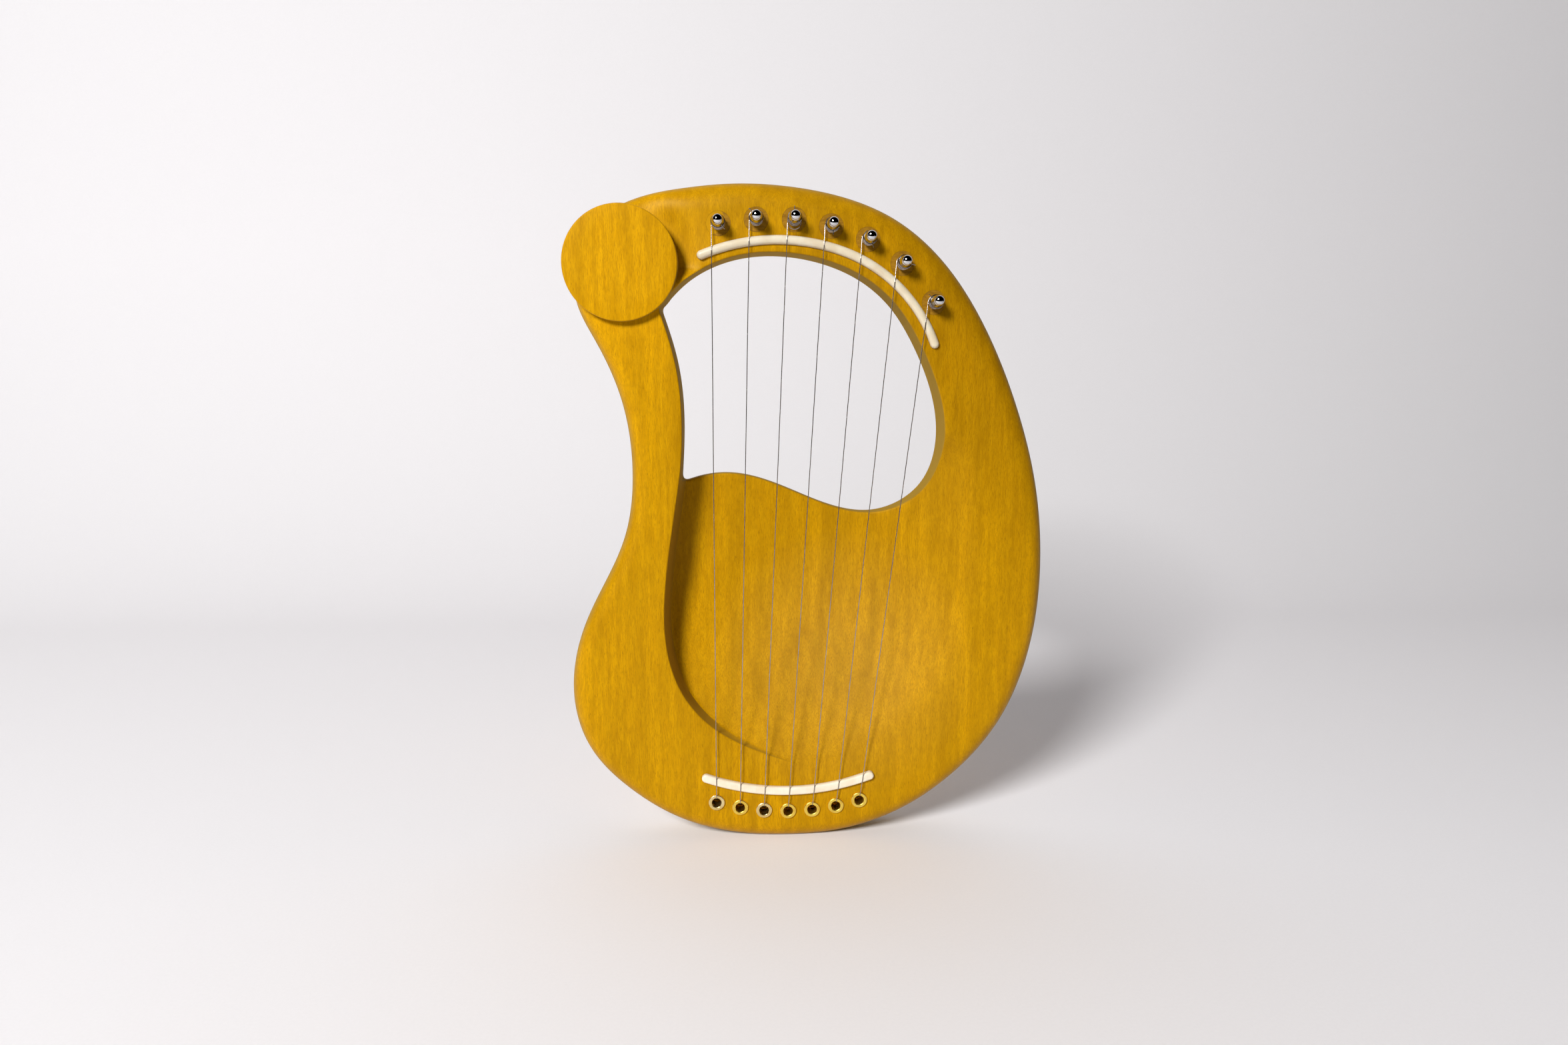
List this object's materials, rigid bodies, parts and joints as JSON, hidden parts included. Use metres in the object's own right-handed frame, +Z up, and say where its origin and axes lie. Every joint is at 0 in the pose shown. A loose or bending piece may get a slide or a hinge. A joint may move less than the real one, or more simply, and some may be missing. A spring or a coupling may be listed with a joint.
{
  "type": "lyre harp",
  "caption": "Small hand-held lyre harp: a carved wooden body with a round boss and an open arch, steel strings over curved bone saddles, and leaning chrome tuning pins that turn.",
  "frame": {"origin": "under the middle of the instrument, level with its foot", "axes": "+Z up with the instrument standing on its foot, +X to the right seen from the front, strings face -Y"},
  "size_m": [0.2866, 0.0562, 0.3954],
  "materials": {
    "stained_wood": "golden yellow stain, satin varnish",
    "bushing_wood": "end grain hardwood, satin varnish",
    "bone": "polished ivory-coloured bone",
    "chrome": "polished",
    "brass": "polished",
    "string_steel": "plain drawn wire"
  },
  "bodies": {
    "lyre": {"body": "stained_wood", "upper_saddle": "bone", "lower_saddle": "bone", "string_1": "string_steel", "pin_bushing_1": "bushing_wood", "front_eyelet_1": "brass", "back_ferrule_1": "brass", "ball_end_1": "brass", "string_2": "string_steel", "pin_bushing_2": "bushing_wood", "front_eyelet_2": "brass", "back_ferrule_2": "brass", "ball_end_2": "brass", "string_3": "string_steel", "pin_bushing_3": "bushing_wood", "front_eyelet_3": "brass", "back_ferrule_3": "brass", "ball_end_3": "brass", "string_4": "string_steel", "pin_bushing_4": "bushing_wood", "front_eyelet_4": "brass", "back_ferrule_4": "brass", "ball_end_4": "brass", "string_5": "string_steel", "pin_bushing_5": "bushing_wood", "front_eyelet_5": "brass", "back_ferrule_5": "brass", "ball_end_5": "brass", "string_6": "string_steel", "pin_bushing_6": "bushing_wood", "front_eyelet_6": "brass", "back_ferrule_6": "brass", "ball_end_6": "brass", "string_7": "string_steel", "pin_bushing_7": "bushing_wood", "front_eyelet_7": "brass", "back_ferrule_7": "brass", "ball_end_7": "brass"},
    "pin_1": {"tuning_pin_1": "chrome", "string_winding_1": "string_steel"},
    "pin_2": {"tuning_pin_2": "chrome", "string_winding_2": "string_steel"},
    "pin_3": {"tuning_pin_3": "chrome", "string_winding_3": "string_steel"},
    "pin_4": {"tuning_pin_4": "chrome", "string_winding_4": "string_steel"},
    "pin_5": {"tuning_pin_5": "chrome", "string_winding_5": "string_steel"},
    "pin_6": {"tuning_pin_6": "chrome", "string_winding_6": "string_steel"},
    "pin_7": {"tuning_pin_7": "chrome", "string_winding_7": "string_steel"}
  },
  "joints": [
    {"name": "pin_1_turn", "type": "hinge", "parent": "lyre", "child": "pin_1", "pos_m": [-0.052, -0.01296, 0.372], "axis": [0.0257, 0.9962, -0.0833], "range_deg": [-540, 30]},
    {"name": "pin_2_turn", "type": "hinge", "parent": "lyre", "child": "pin_2", "pos_m": [-0.0305, -0.01307, 0.3743], "axis": [0.0095, 0.9962, -0.0866], "range_deg": [-540, 30]},
    {"name": "pin_3_turn", "type": "hinge", "parent": "lyre", "child": "pin_3", "pos_m": [-0.0088, -0.01308, 0.3743], "axis": [-0.0074, 0.9962, -0.0868], "range_deg": [-540, 30]},
    {"name": "pin_4_turn", "type": "hinge", "parent": "lyre", "child": "pin_4", "pos_m": [0.0125, -0.01307, 0.3708], "axis": [-0.0239, 0.9962, -0.0838], "range_deg": [-540, 30]},
    {"name": "pin_5_turn", "type": "hinge", "parent": "lyre", "child": "pin_5", "pos_m": [0.0337, -0.01301, 0.3636], "axis": [-0.0399, 0.9962, -0.0775], "range_deg": [-540, 30]},
    {"name": "pin_6_turn", "type": "hinge", "parent": "lyre", "child": "pin_6", "pos_m": [0.0537, -0.01302, 0.3502], "axis": [-0.0553, 0.9962, -0.0673], "range_deg": [-540, 30]},
    {"name": "pin_7_turn", "type": "hinge", "parent": "lyre", "child": "pin_7", "pos_m": [0.0724, -0.01309, 0.3282], "axis": [-0.0706, 0.9962, -0.0511], "range_deg": [-540, 30]}
  ]
}
